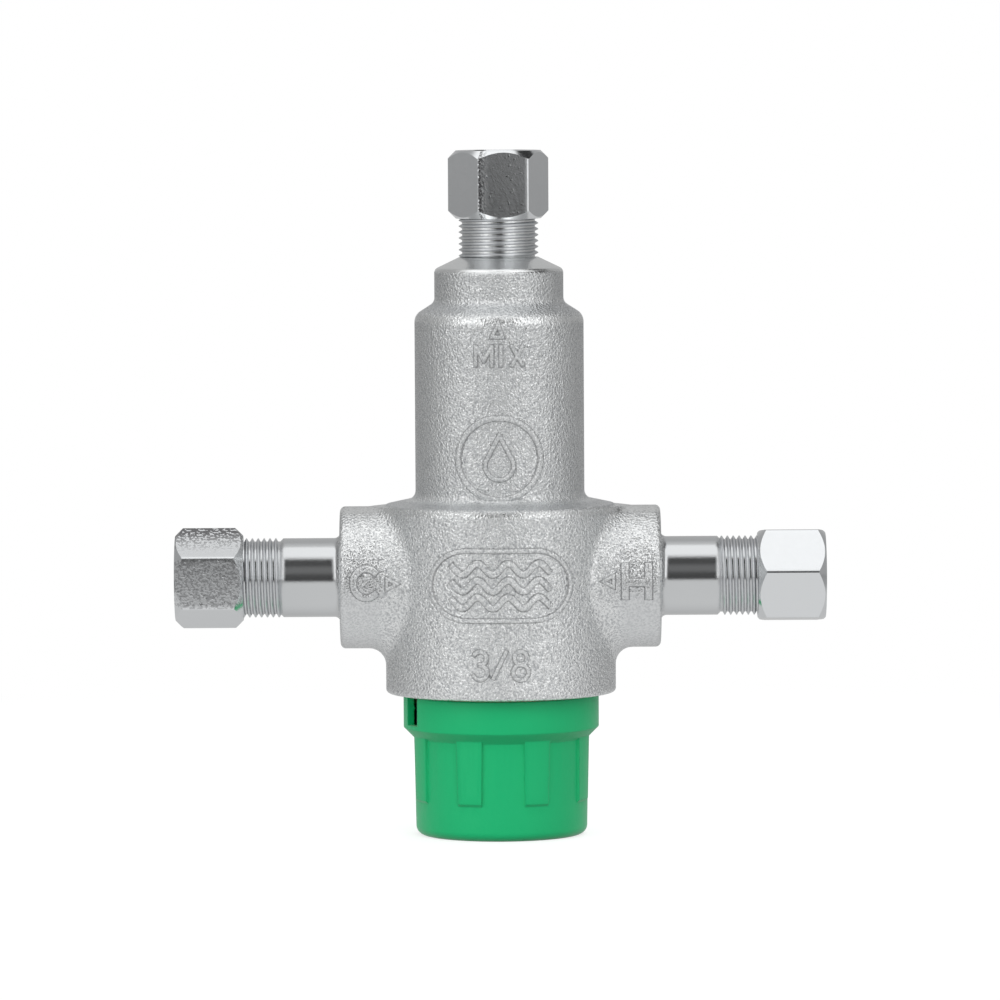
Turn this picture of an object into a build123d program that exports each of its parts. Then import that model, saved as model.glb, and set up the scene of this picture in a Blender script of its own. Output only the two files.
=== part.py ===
"""Point-of-use mixing valve with three 3/8 in compression ports and an adjusting cap at its foot.

Millimetres. +Z is up, and the foot of the cap is at Z 0 on the valve's axis. The hot inlet
points along +X, the cold inlet along -X and the mixed outlet along +Z. The front is -Y.
"""

import os
from math import cos, radians, sin, sqrt

from build123d import *

# Casting, outside
barrel_radius = 20.7
barrel_base_round = 0.7
inlet_rise = 20.8  # inlet axis above the barrel's lower face
boss_radius = 12.8
boss_reach = 28.8  # end face of an inlet boss from the valve's axis
boss_blend = 3.0  # hollow blend between boss and barrel
boss_edge_round = 0.95
shoulder_drop = 1.2  # fall of the shoulder from the upper barrel out to the barrel
shoulder_lift = 0.3  # rim of the shoulder above the top line of the bosses
shoulder_break = 0.25  # broken edge of the shoulder's rim
shoulder_land = 0.05  # skim of the shoulder's outer flat above the bosses
upper_barrel_radius = 15.2
upper_barrel_length = 32.9
upper_root_blend = 1.6
upper_slope = 2.3  # height of the sloping step between upper barrel and neck
upper_edge_round = 2.3
neck_radius = 11.6
neck_length = 5.9
neck_root_blend = 1.5
neck_edge_round = 1.1
turned_cone_height = 2.15
tail_radius = 7.1
tail_root_blend = 1.1

# Compression ports. Distances run inwards from the outer face of the nut.
port_reach = 58.5  # outer face of an inlet nut from the valve's axis
nut_across_flats = 15.875
nut_length = 12.2
nut_end_circle = 7.65  # radius of the flat ring left by the turned chamfer
nut_end_wall = 2.4
nut_cone = 1.4
nut_tube_hole = 4.9
nut_mouth_chamfer = 0.65
nut_thread_chamfer = 0.15
thread_root = 6.55
thread_crest = 7.14
thread_clearance = 0.1
thread_end_chamfer = 0.4
inlet_thread_length = 12.4
outlet_thread_length = 12.65
spigot_setback = 6.5  # end of the threaded spigot behind the nut's outer face
mouth_radius = 5.8
mouth_depth = 2.3
socket_radius = 4.8
socket_length = 7.5
sleeve_radius = 5.6
sleeve_bore = 4.85
sleeve_edge = 0.15  # flat at the thin end of each taper
sleeve_clearance = 0.1
outlet_duct = 4.0

# Turn of each nut about its own axis, in degrees
outlet_nut_turn = 6.85
hot_nut_turn = 22.85
cold_nut_turn = -3.2

# Inside of the casting
bonnet_bore = 15.0
land_bore = 11.0
land_height = 6.0
cold_chamber_height = 6.5
cold_chamber_radius = 16.2
hot_chamber_height = 5.5
hot_chamber_radius = 14.5
hot_seat_bore = 9.6
hot_seat_height = 2.5
mixing_radius = 11.4
mixing_length = 26.5
duct_radius = 6.4
duct_length = 13.0
gallery_start = 13.2
gallery_end = 23.5
gallery_width = 9.0
gallery_web = 1.4
gallery_round = 2.5
passage_radius = 3.6

# Inlet check cartridges
cartridge_bore = 4.6
cartridge_clearance = 0.05
cartridge_length = 10.6
cartridge_edge = 0.4
screen_thickness = 1.0
screen_hole = 0.6
screen_pitch = 1.75
check_throat = 2.3
check_throat_length = 2.2
check_chamber = 3.3
check_hub = 1.7
check_hub_height = 1.5
check_spokes = 3
check_spoke_width = 0.9
check_stem = 0.8
check_stem_length = 7.0
check_head = 2.9
check_head_height = 1.1
check_gap = 0.1
check_ring_section = 0.38
check_ring_place = 4.6  # middle of the groove behind the housing's outer face
check_wire = 0.15
check_coils = 5

# Bonnet
lip_gap = 0.4  # top of the cap's skirt below the casting
plug_clearance = 0.05
bonnet_flange_radius = 15.9
bonnet_flange_height = 1.5
bonnet_hex = 23.0
bonnet_hex_height = 6.0
bonnet_hex_chamfer = 0.8
gland_radius = 7.0
gland_height = 5.4
gland_chamfer = 0.5
bonnet_cavity = 8.0
bonnet_floor = 9.7  # floor of the cavity above the gland's lower face
cold_seat_height = 3.0
cold_seat_inner = 9.5
cold_seat_outer = 10.6
bonnet_ring_section = 0.7
bonnet_ring_drop = 3.0
key_width = 3.0
key_reach = 1.2
key_count = 2
running = 0.05
ring_slack = 0.05

# Spindle
spindle_radius = 4.0
spindle_hex = 7.0
spindle_hex_height = 7.6
spindle_ring_section = 0.75
spindle_ring_rise = 4.6
spindle_collar = 6.5
spindle_collar_height = 1.8
spindle_nose = 3.4
spindle_nose_length = 8.2
spindle_end_chamfer = 0.5
circlip_gap = 0.1
circlip_depth = 0.5
circlip_reach = 1.3
circlip_height = 0.7
circlip_land = 0.5  # stem left between the circlip and the spindle's hexagon
circlip_mouth = 70  # degrees left open

# Adjusting cap
cap_height = 25.3
skirt_radius = 17.6
skirt_wall = 1.3
skirt_height = 5.8
skirt_cone_height = 1.9
skirt_edge_round = 0.3
cap_radius = 15.72
cap_draft = 0.33
cap_foot_round = 1.7
cap_floor = 1.8
cap_floor_round = 1.0
cap_wall = 1.7
ring_wall = 1.3
ring_drop = 1.3  # top of the cap's inner ring below the skirt's top
groove_floor_rise = 0.6
bead_height = 0.3
bead_drop = 2.1
rib_count = 8
rib_height = 0.45
rib_top_width = 5.05
rib_foot_width = 4.45
rib_foot = 6.3
rib_turn = 1.2
slot_width = 4.3
slot_depth = 5.1
slot_bearing = -66  # degrees from the front, round to the cold side
socket_boss = 6.2
socket_clearance = 0.06
socket_end_gap = 0.4
socket_drop = 0.2  # rim of the socket below the end of the spindle's hexagon
web_count = 4
web_thickness = 1.2
web_height = 7.0

# Spring carrier, plunger and pin
carrier_clearance = 0.4
carrier_length = 10.5
carrier_lift = 2.1  # carrier above the spindle's collar
carrier_hub = 4.0
carrier_wall = 1.4
key_clearance = 0.15
plunger_clearance = 0.1
plunger_height = 1.6
plunger_drop = 1.3
plunger_socket = 0.9
plunger_ring_height = 0.5
plunger_ring_depth = 0.45
plunger_ring_width = 1.6
overload_wire = 0.5
overload_coils = 2
overload_radius = 5.0
spring_slack = 0.05
pin_radius = 1.5
pin_length = 10.2

# Shuttle, wax element and return spring
seat_gap = 0.5  # water gap at each end of the shuttle
shuttle_bore = 8.6
shuttle_ring_section = 0.5
spoke_count = 4
spoke_height = 3.0
spoke_width = 2.2
spoke_rise = 4.5
hub_radius = 4.7
element_stem = 3.3
element_stem_drop = 4.8
element_bore_rise = 2.0  # end of the pin's bore above the top of the hub's lower face
element_flange = 6.2
element_flange_height = 2.0
element_radius = 5.5
element_length = 20.0
element_round = 1.5
return_radius = 7.6
return_wire = 0.7
return_coils = 6
return_gap = 0.1

# Levels worked out from the sizes above
barrel_base = cap_height + lip_gap
inlet_z = barrel_base + inlet_rise
shoulder_rim = inlet_z + boss_radius + shoulder_lift
shoulder_top = shoulder_rim + shoulder_drop
upper_top = shoulder_top + upper_barrel_length
neck_base = upper_top + upper_slope
neck_top = neck_base + neck_length
thread_base = neck_top + turned_cone_height
outlet_height = thread_base + outlet_thread_length + spigot_setback
land_base = inlet_z - land_height / 2
land_top = inlet_z + land_height / 2
cold_floor = land_base - cold_chamber_height
cold_seat = cold_floor + cold_seat_height
hot_seat = land_top + hot_chamber_height
mixing_base = hot_seat + hot_seat_height
mixing_top = mixing_base + mixing_length
duct_top = mixing_top + duct_length
flange_base = barrel_base - bonnet_flange_height
bonnet_hex_base = flange_base - bonnet_hex_height
gland_base = bonnet_hex_base - gland_height
cavity_floor = gland_base + bonnet_floor
mouth_end = spigot_setback + mouth_depth
socket_end = mouth_end + socket_length
housing_face = socket_end + screen_thickness + 2 * cartridge_clearance
cartridge_end = housing_face + cartridge_length + cartridge_clearance

# Port planes lie on the nuts' outer faces, with Z out along the tube and X to the front
hot_port = Plane(origin=(port_reach, 0, inlet_z), x_dir=(0, -1, 0), z_dir=(1, 0, 0))
cold_port = Plane(origin=(-port_reach, 0, inlet_z), x_dir=(0, -1, 0), z_dir=(-1, 0, 0))
outlet_port = Plane(origin=(0, 0, outlet_height), x_dir=(0, -1, 0), z_dir=(0, 0, 1))
inlets = {"hot": hot_port, "cold": cold_port}
ports = {"hot": hot_port, "cold": cold_port, "outlet": outlet_port}
nut_turns = {"hot": hot_nut_turn, "cold": cold_nut_turn, "outlet": outlet_nut_turn}

os.makedirs("parts", exist_ok=True)


def section_of(port):
    """The plane through a port's axis, with X out from the axis and Y along it."""
    return Plane(origin=port.origin, x_dir=port.x_dir, z_dir=-port.y_dir)


def axis_of(port):
    """A port's own axis."""
    return Axis(port.origin, port.z_dir)


def bearing_plane(bearing, height):
    """An upright plane through the valve's axis that faces a bearing, in degrees from the front."""
    turn = radians(bearing)
    return Plane(
        origin=(0, 0, height),
        x_dir=(cos(turn), sin(turn), 0),
        z_dir=(sin(turn), -cos(turn), 0),
    )


def outline(points, mode=Mode.ADD):
    """A face inside a closed outline of straight lines, in the sketch that is open."""
    with BuildLine() as sides:
        Polyline(*points, close=True)
    make_face(sides.edges(), mode=mode)


def coil(plane, radius, wire, length, turns):
    """An open coil spring that stands on its plane, with its wire inside its length."""
    rise = length - 2 * wire
    with BuildPart() as spring:
        with BuildLine(plane.offset(wire)) as route:
            Helix(rise / turns, rise, radius, direction=plane.z_dir)
        with BuildSketch(Plane(route.line @ 0, z_dir=route.line % 0)):
            Circle(wire)
        sweep()
    return spring.part


def ring_seal(plane, bore, section):
    """A rubber ring in a groove of the inner piece, just clear of the bore round it."""
    with BuildPart() as seal:
        with BuildSketch(section_of(plane)):
            with Locations((bore - section - ring_slack, 0)):
                Circle(section)
        revolve(axis=axis_of(plane))
    return seal.part


def groove_outline(bore, section):
    """Outline of a ring seal's groove, from its root out past the surface that it is cut in."""
    root = bore - 2 * (section + ring_slack)
    half_width = section + ring_slack
    return [(root, -half_width), (bore, -half_width), (bore, half_width), (root, half_width)]


# The casting starts as barrel and inlet bosses, so that the blend runs all round each boss
blank_top = shoulder_top + boss_blend + boss_edge_round
boss_top = inlet_z + boss_radius + shoulder_land
shoulder_slope = shoulder_drop / (barrel_radius - upper_barrel_radius)
break_radius = barrel_radius - shoulder_break
break_height = shoulder_top - shoulder_slope * (break_radius - upper_barrel_radius)
with BuildPart() as body:
    with BuildSketch(Plane.XY.offset(barrel_base)):
        Circle(barrel_radius)
    extrude(amount=blank_top - barrel_base)
    with BuildSketch(Plane.YZ.offset(-boss_reach)):
        with Locations((0, inlet_z)):
            Circle(boss_radius)
    extrude(amount=2 * boss_reach)
    saddles = [e for e in body.edges() if e.geom_type not in (GeomType.LINE, GeomType.CIRCLE)]
    fillet(saddles, boss_blend)

    # The shoulder is turned over the blend, as a shallow cone and a flat above the bosses
    with BuildSketch(Plane.XZ):
        outline(
            [
                (0, blank_top),
                (0, shoulder_top),
                (upper_barrel_radius, shoulder_top),
                (break_radius, break_height),
                (break_radius + break_height - boss_top, boss_top),
                (boss_reach, boss_top),
                (boss_reach, blank_top),
            ]
        )
    revolve(axis=Axis.Z, mode=Mode.SUBTRACT)

    # Upper barrel, neck and turned cone, with the outlet's threaded spigot at root size
    spigot_end = outlet_height - spigot_setback
    with BuildSketch(Plane.XZ) as tower:
        outline(
            [
                (0, cold_floor),
                (upper_barrel_radius, cold_floor),
                (upper_barrel_radius, upper_top),
                (neck_radius, neck_base),
                (neck_radius, neck_top),
                (thread_crest, thread_base),
                (thread_root, thread_base),
                (thread_root, spigot_end - thread_end_chamfer),
                (thread_root - thread_end_chamfer, spigot_end),
                (0, spigot_end),
            ]
        )
        fillet(tower.vertices().sort_by_distance((upper_barrel_radius, upper_top))[0], upper_edge_round)
        fillet(tower.vertices().sort_by_distance((neck_radius, neck_base))[0], neck_root_blend)
        fillet(tower.vertices().sort_by_distance((neck_radius, neck_top))[0], neck_edge_round)
    revolve(axis=Axis.Z)
    root = body.edges().filter_by(GeomType.CIRCLE).filter_by_position(
        Axis.Z, shoulder_top - 0.3, shoulder_top + 0.3
    )
    fillet(root, upper_root_blend)

    # Inlet tails and their threaded spigots
    for port in inlets.values():
        thread_end = -spigot_setback - inlet_thread_length
        with BuildSketch(section_of(port)):
            outline(
                [
                    (0, -spigot_setback),
                    (thread_root - thread_end_chamfer, -spigot_setback),
                    (thread_root, -spigot_setback - thread_end_chamfer),
                    (thread_root, thread_end),
                    (tail_radius, thread_end - (tail_radius - thread_root)),
                    (tail_radius, boss_reach - port_reach),
                    (tail_radius, boss_reach - port_reach - boss_edge_round),
                    (0, boss_reach - port_reach - boss_edge_round),
                ]
            )
        revolve(axis=axis_of(port))
    round_edges = body.edges().filter_by(GeomType.CIRCLE)
    boss_ends = [e for e in round_edges if abs(abs(e.arc_center.X) - boss_reach) < 0.01]
    fillet([e for e in boss_ends if e.radius < tail_radius + 0.01], tail_root_blend)
    round_edges = body.edges().filter_by(GeomType.CIRCLE)
    boss_ends = [e for e in round_edges if abs(abs(e.arc_center.X) - boss_reach) < 0.01]
    fillet([e for e in boss_ends if e.radius > boss_radius - 0.01], boss_edge_round)
    fillet(body.faces().sort_by(Axis.Z)[0].edges(), barrel_base_round)

    # Bonnet bore, chambers, seat opening and duct up to the outlet's tube socket
    duct_end = outlet_height - socket_end
    with BuildSketch(Plane.XZ):
        outline(
            [
                (0, barrel_base),
                (bonnet_bore, barrel_base),
                (bonnet_bore, cold_floor),
                (cold_chamber_radius, cold_floor),
                (cold_chamber_radius, land_base),
                (land_bore, land_base),
                (land_bore, land_top),
                (hot_chamber_radius, land_top),
                (hot_chamber_radius, hot_seat),
                (hot_seat_bore, hot_seat),
                (hot_seat_bore, mixing_base),
                (mixing_radius, mixing_base),
                (mixing_radius, mixing_top),
                (duct_radius, mixing_top),
                (duct_radius, duct_top),
                (outlet_duct, duct_top + duct_radius - outlet_duct),
                (outlet_duct, duct_end),
                (socket_radius, duct_end),
                (socket_radius, outlet_height - mouth_end),
                (mouth_radius, spigot_end),
                (0, spigot_end),
            ]
        )
    revolve(axis=Axis.Z, mode=Mode.SUBTRACT)

    # Tube socket, cartridge bore and passage of each inlet
    passage_end = gallery_end - port_reach
    for port in inlets.values():
        with BuildSketch(section_of(port)):
            outline(
                [
                    (0, -spigot_setback),
                    (mouth_radius, -spigot_setback),
                    (socket_radius, -mouth_end),
                    (socket_radius, -socket_end),
                    (cartridge_bore, -socket_end),
                    (cartridge_bore, -cartridge_end),
                    (passage_radius, -cartridge_end),
                    (passage_radius, passage_end - gallery_round),
                    (0, passage_end - gallery_round),
                ]
            )
        revolve(axis=axis_of(port), mode=Mode.SUBTRACT)

    # Cored galleries: hot water rises over the land, and cold water falls below it
    hot_gallery = (land_base + gallery_web, hot_seat - gallery_web / 2)
    cold_gallery = (cold_floor + gallery_web, land_top - gallery_web)
    for side, (low, high) in ((1, hot_gallery), (-1, cold_gallery)):
        with BuildSketch(Plane.YZ.offset(side * gallery_start)):
            with Locations((0, (low + high) / 2)):
                RectangleRounded(gallery_width, high - low, gallery_round)
        extrude(amount=side * (gallery_end - gallery_start), mode=Mode.SUBTRACT)
body.part.label = "valve_body"
export_step(body.part, "parts/valve_body.step")

# Bonnet: gland, hexagon, flange and plug, with the rim that the shuttle seats on
with BuildPart() as bonnet:
    with BuildSketch(Plane.XZ):
        outline(
            [
                (0, gland_base),
                (gland_radius - gland_chamfer, gland_base),
                (gland_radius, gland_base + gland_chamfer),
                (gland_radius, flange_base),
                (bonnet_flange_radius, flange_base),
                (bonnet_flange_radius, barrel_base),
                (bonnet_bore - plug_clearance, barrel_base),
                (bonnet_bore - plug_clearance, cold_floor),
                (cold_seat_outer, cold_floor),
                (cold_seat_outer, cold_seat),
                (0, cold_seat),
            ]
        )
    revolve(axis=Axis.Z)
    with BuildSketch(Plane.XY.offset(bonnet_hex_base)):
        RegularPolygon(bonnet_hex / 2, 6, major_radius=False)
    extrude(amount=bonnet_hex_height)
    hex_face = bonnet.faces().filter_by(Axis.Z).sort_by_distance((bonnet_hex / 2, 0, bonnet_hex_base))[0]
    chamfer(hex_face.outer_wire().edges(), bonnet_hex_chamfer)
    with BuildSketch(Plane.XZ):
        outline(
            [
                (0, gland_base),
                (spindle_radius + running, gland_base),
                (spindle_radius + running, cavity_floor),
                (bonnet_cavity, cavity_floor),
                (bonnet_cavity, cold_floor),
                (cold_seat_inner, cold_floor),
                (cold_seat_inner, cold_seat),
                (0, cold_seat),
            ]
        )
    revolve(axis=Axis.Z, mode=Mode.SUBTRACT)
    with BuildSketch(Plane.XY.offset(cavity_floor)):
        with PolarLocations((bonnet_cavity + key_reach) / 2, key_count):
            Rectangle(bonnet_cavity + key_reach, key_width)
    extrude(amount=cold_floor - cavity_floor, mode=Mode.SUBTRACT)
    bonnet_ring_plane = Plane(origin=(0, 0, cold_floor - bonnet_ring_drop), x_dir=(1, 0, 0))
    with BuildSketch(section_of(bonnet_ring_plane)):
        outline(groove_outline(bonnet_bore, bonnet_ring_section))
    revolve(axis=Axis.Z, mode=Mode.SUBTRACT)
bonnet.part.label = "bonnet"
export_step(bonnet.part, "parts/bonnet.step")

bonnet_ring = ring_seal(bonnet_ring_plane, bonnet_bore, bonnet_ring_section)
bonnet_ring.label = "bonnet_o_ring"
export_step(bonnet_ring, "parts/bonnet_o_ring.step")

# Spindle: hexagon for the cap, stem, collar and the nose that drives the carrier
circlip_top = gland_base - circlip_gap
circlip_base = circlip_top - circlip_height
spindle_hex_top = circlip_base - circlip_land
spindle_foot = spindle_hex_top - spindle_hex_height
collar_base = cavity_floor + circlip_gap
collar_top = collar_base + spindle_collar_height
nose_top = collar_top + spindle_nose_length
stem_bore = spindle_radius + running
spindle_ring_plane = Plane(origin=(0, 0, gland_base + spindle_ring_rise), x_dir=(1, 0, 0))
with BuildPart() as spindle:
    with BuildSketch(Plane.XZ):
        outline(
            [
                (0, spindle_hex_top),
                (spindle_radius, spindle_hex_top),
                (spindle_radius, circlip_base),
                (spindle_radius - circlip_depth, circlip_base),
                (spindle_radius - circlip_depth, circlip_top),
                (spindle_radius, circlip_top),
                (spindle_radius, collar_base),
                (spindle_collar, collar_base),
                (spindle_collar, collar_top),
                (spindle_nose, collar_top),
                (spindle_nose, nose_top - spindle_end_chamfer),
                (spindle_nose - spindle_end_chamfer, nose_top),
                (0, nose_top),
            ]
        )
    revolve(axis=Axis.Z)
    with BuildSketch(section_of(spindle_ring_plane)):
        outline(groove_outline(stem_bore, spindle_ring_section))
    revolve(axis=Axis.Z, mode=Mode.SUBTRACT)
    with BuildSketch(Plane.XY.offset(spindle_foot)):
        RegularPolygon(spindle_hex / 2, 6, major_radius=False)
    extrude(amount=spindle_hex_height)
    chamfer(spindle.faces().sort_by(Axis.Z)[0].edges(), spindle_end_chamfer)
spindle.part.label = "spindle"
export_step(spindle.part, "parts/spindle.step")

spindle_ring = ring_seal(spindle_ring_plane, stem_bore, spindle_ring_section)
spindle_ring.label = "spindle_o_ring"
export_step(spindle_ring, "parts/spindle_o_ring.step")

# Circlip that holds the spindle in the gland
with BuildPart() as circlip:
    with BuildSketch(Plane.XY.offset(circlip_base)):
        Circle(spindle_radius + circlip_reach)
        Circle(spindle_radius - circlip_depth + running, mode=Mode.SUBTRACT)
        mouth_reach = 2 * (spindle_radius + circlip_reach)
        mouth_half = mouth_reach * sin(radians(circlip_mouth / 2))
        mouth_along = mouth_reach * cos(radians(circlip_mouth / 2))
        mouth_end_points = [(mouth_along, -mouth_half), (mouth_along, mouth_half)]
        outline([(0, 0), *mouth_end_points], mode=Mode.SUBTRACT)
    extrude(amount=circlip_height)
circlip.part.label = "spindle_circlip"
export_step(circlip.part, "parts/spindle_circlip.step")

# Grip ribs: tapered bars that follow the draft of the cap's wall
skirt_base = cap_height - skirt_height
cone_base = skirt_base - skirt_cone_height
cone_slope = skirt_cone_height / (skirt_radius - cap_radius)
wall_draft = cap_draft / cone_base
rib_top = cone_base + rib_height * cone_slope
rib_foot_radius = cap_radius - wall_draft * (cone_base - rib_foot)
with BuildPart() as ribs:
    for count in range(rib_count):
        bearing = (count + 0.5) * 360 / rib_count + rib_turn
        with BuildSketch(bearing_plane(bearing, 0)):
            outline(
                [
                    (-rib_foot_width / 2, rib_foot),
                    (rib_foot_width / 2, rib_foot),
                    (rib_top_width / 2, skirt_base),
                    (-rib_top_width / 2, skirt_base),
                ]
            )
        extrude(amount=skirt_radius)
    with BuildSketch(Plane.XZ):
        outline(
            [
                (cap_radius - cap_wall / 2, rib_foot),
                (rib_foot_radius, rib_foot),
                (rib_foot_radius + rib_height, rib_foot + rib_height),
                (cap_radius + rib_height, rib_top),
                (cap_radius - cap_wall / 2, rib_top),
            ]
        )
    revolve(axis=Axis.Z, mode=Mode.INTERSECT)

# Adjusting cap: a drafted cup with a stepped skirt, an inner ring and a hexagon socket
socket_rim = spindle_hex_top - socket_drop
wall_inner = cap_radius - cap_wall
floor_inner = wall_inner - wall_draft * (cone_base - cap_floor)
ring_outer = wall_inner + ring_wall
skirt_inner = skirt_radius - skirt_wall
groove_floor = skirt_base + groove_floor_rise
with BuildPart() as cap:
    with BuildSketch(Plane.XZ) as cup:
        outline(
            [
                (0, 0),
                (cap_radius - cap_draft, 0),
                (cap_radius, cone_base),
                (skirt_radius, skirt_base),
                (skirt_radius, cap_height),
                (0, cap_height),
            ]
        )
        fillet(cup.vertices().sort_by_distance((cap_radius - cap_draft, 0))[0], cap_foot_round)
        fillet(cup.vertices().sort_by_distance((skirt_radius, skirt_base))[0], skirt_edge_round)
        fillet(cup.vertices().sort_by_distance((skirt_radius, cap_height))[0], skirt_edge_round)
    revolve(axis=Axis.Z)
    add(ribs.part)
    with BuildSketch(Plane.XZ) as hollow:
        outline(
            [
                (0, cap_floor),
                (floor_inner, cap_floor),
                (wall_inner, cone_base),
                (wall_inner, cap_height - ring_drop),
                (ring_outer, cap_height - ring_drop),
                (ring_outer, groove_floor),
                (skirt_inner, groove_floor),
                (skirt_inner, cap_height - bead_drop - bead_height),
                (skirt_inner - bead_height, cap_height - bead_drop),
                (skirt_inner, cap_height - bead_drop + bead_height),
                (skirt_inner, cap_height),
                (0, cap_height),
            ]
        )
        fillet(hollow.vertices().sort_by_distance((floor_inner, cap_floor))[0], cap_floor_round)
    revolve(axis=Axis.Z, mode=Mode.SUBTRACT)
    with BuildSketch(bearing_plane(slot_bearing, cap_height).offset(ring_outer)):
        with Locations((0, -slot_depth / 2)):
            Rectangle(slot_width, slot_depth)
    extrude(amount=skirt_radius - ring_outer, mode=Mode.SUBTRACT)
    with BuildSketch(Plane.XY.offset(cap_floor)):
        with PolarLocations((socket_boss + floor_inner) / 2, web_count, start_angle=180 / web_count):
            Rectangle(floor_inner - socket_boss + cap_wall, web_thickness)
    extrude(amount=web_height - cap_floor)
    with BuildSketch(Plane.XY.offset(cap_floor)):
        Circle(socket_boss)
    extrude(amount=socket_rim - cap_floor)
    with BuildSketch(Plane.XY.offset(spindle_foot - socket_end_gap)):
        RegularPolygon(spindle_hex / 2 + socket_clearance, 6, major_radius=False)
    extrude(amount=socket_rim - spindle_foot + socket_end_gap, mode=Mode.SUBTRACT)
cap.part.label = "adjusting_cap"
export_step(cap.part, "parts/adjusting_cap.step")

# Spring carrier: keyed in the bonnet, and driven up and down by the spindle's nose
carrier_radius = bonnet_cavity - carrier_clearance
carrier_base = collar_top + carrier_lift
carrier_top = carrier_base + carrier_length
carrier_inner = carrier_radius - carrier_wall
cup_floor = carrier_base + carrier_hub
plunger_top = carrier_top - plunger_drop
plunger_base = plunger_top - plunger_height
ring_base = plunger_top + plunger_clearance
ring_top = ring_base + plunger_ring_height
ring_root = carrier_inner + plunger_ring_depth
lug_reach = bonnet_cavity + key_reach - key_clearance
with BuildPart() as carrier:
    with BuildSketch(Plane.XY.offset(carrier_base)):
        Circle(carrier_radius)
        with PolarLocations(lug_reach / 2, key_count):
            Rectangle(lug_reach, key_width - 2 * key_clearance)
    extrude(amount=carrier_length)
    with BuildSketch(Plane.XZ):
        outline(
            [
                (0, carrier_base),
                (spindle_nose + running, carrier_base),
                (spindle_nose + running, cup_floor),
                (carrier_inner, cup_floor),
                (carrier_inner, ring_base - running),
                (ring_root, ring_base - running),
                (ring_root, ring_top + running),
                (carrier_inner, ring_top + running),
                (carrier_inner, carrier_top),
                (0, carrier_top),
            ]
        )
    revolve(axis=Axis.Z, mode=Mode.SUBTRACT)
carrier.part.label = "spring_carrier"
export_step(carrier.part, "parts/spring_carrier.step")

overload = coil(
    Plane.XY.offset(cup_floor + spring_slack),
    overload_radius,
    overload_wire,
    plunger_base - cup_floor - 2 * spring_slack,
    overload_coils,
)
overload.label = "overload_spring"
export_step(overload, "parts/overload_spring.step")

# Plunger that the element's pin stands in, and the snap ring above it
with BuildPart() as plunger:
    with BuildSketch(Plane.XY.offset(plunger_base)):
        Circle(carrier_inner - plunger_clearance)
    extrude(amount=plunger_height)
    with BuildSketch(Plane.XY.offset(plunger_top - plunger_socket)):
        Circle(pin_radius + running)
    extrude(amount=plunger_socket, mode=Mode.SUBTRACT)
plunger.part.label = "plunger"
export_step(plunger.part, "parts/plunger.step")

with BuildPart() as plunger_ring:
    with BuildSketch(Plane.XY.offset(ring_base)):
        Circle(ring_root - running)
        Circle(ring_root - plunger_ring_width, mode=Mode.SUBTRACT)
    extrude(amount=plunger_ring_height)
plunger_ring.part.label = "plunger_ring"
export_step(plunger_ring.part, "parts/plunger_ring.step")

pin_base = plunger_top - plunger_socket
with BuildPart() as pin:
    with BuildSketch(Plane.XY.offset(pin_base)):
        Circle(pin_radius)
    extrude(amount=pin_length)
    chamfer(pin.edges(), pin_radius / 6)
pin.part.label = "element_pin"
export_step(pin.part, "parts/element_pin.step")

# Shuttle: a ring that slides in the land between the two seats, with a spoked hub
shuttle_base = cold_seat + seat_gap
shuttle_top = hot_seat - seat_gap
hub_base = shuttle_base + spoke_rise
hub_top = hub_base + spoke_height
shuttle_ring_plane = Plane(origin=(0, 0, inlet_z), x_dir=(1, 0, 0))
with BuildPart() as shuttle:
    with BuildSketch(Plane.XY.offset(shuttle_base)):
        Circle(land_bore - running)
        Circle(shuttle_bore, mode=Mode.SUBTRACT)
    extrude(amount=shuttle_top - shuttle_base)
    with BuildSketch(section_of(shuttle_ring_plane)):
        outline(groove_outline(land_bore, shuttle_ring_section))
    revolve(axis=Axis.Z, mode=Mode.SUBTRACT)
    with BuildSketch(Plane.XY.offset(hub_base)):
        Circle(hub_radius)
        with PolarLocations((element_stem + shuttle_bore) / 2, spoke_count, start_angle=45):
            Rectangle(shuttle_bore - element_stem + shuttle_ring_section, spoke_width)
        Circle(element_stem + running, mode=Mode.SUBTRACT)
    extrude(amount=spoke_height)
shuttle.part.label = "shuttle"
export_step(shuttle.part, "parts/shuttle.step")

shuttle_ring = ring_seal(shuttle_ring_plane, land_bore, shuttle_ring_section)
shuttle_ring.label = "shuttle_o_ring"
export_step(shuttle_ring, "parts/shuttle_o_ring.step")

# Wax element: guide stem, flange on the hub and the sensing bulb in the mixed water
flange_top = hub_top + element_flange_height
with BuildPart() as element:
    with BuildSketch(Plane.XZ):
        outline(
            [
                (0, hub_base - element_stem_drop),
                (element_stem, hub_base - element_stem_drop),
                (element_stem, hub_top),
                (element_flange, hub_top),
                (element_flange, flange_top),
                (element_radius, flange_top),
                (element_radius, flange_top + element_length),
                (0, flange_top + element_length),
            ]
        )
    revolve(axis=Axis.Z)
    fillet(element.faces().sort_by(Axis.Z)[-1].edges(), element_round)
    with BuildSketch(Plane.XY.offset(hub_base - element_stem_drop)):
        Circle(pin_radius + running)
    extrude(amount=element_stem_drop + element_bore_rise, mode=Mode.SUBTRACT)
element.part.label = "wax_element"
export_step(element.part, "parts/wax_element.step")

return_spring = coil(
    Plane.XY.offset(hub_top + return_gap),
    return_radius,
    return_wire,
    mixing_top - hub_top - 2 * return_gap,
    return_coils,
)
return_spring.label = "return_spring"
export_step(return_spring, "parts/return_spring.step")

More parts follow.
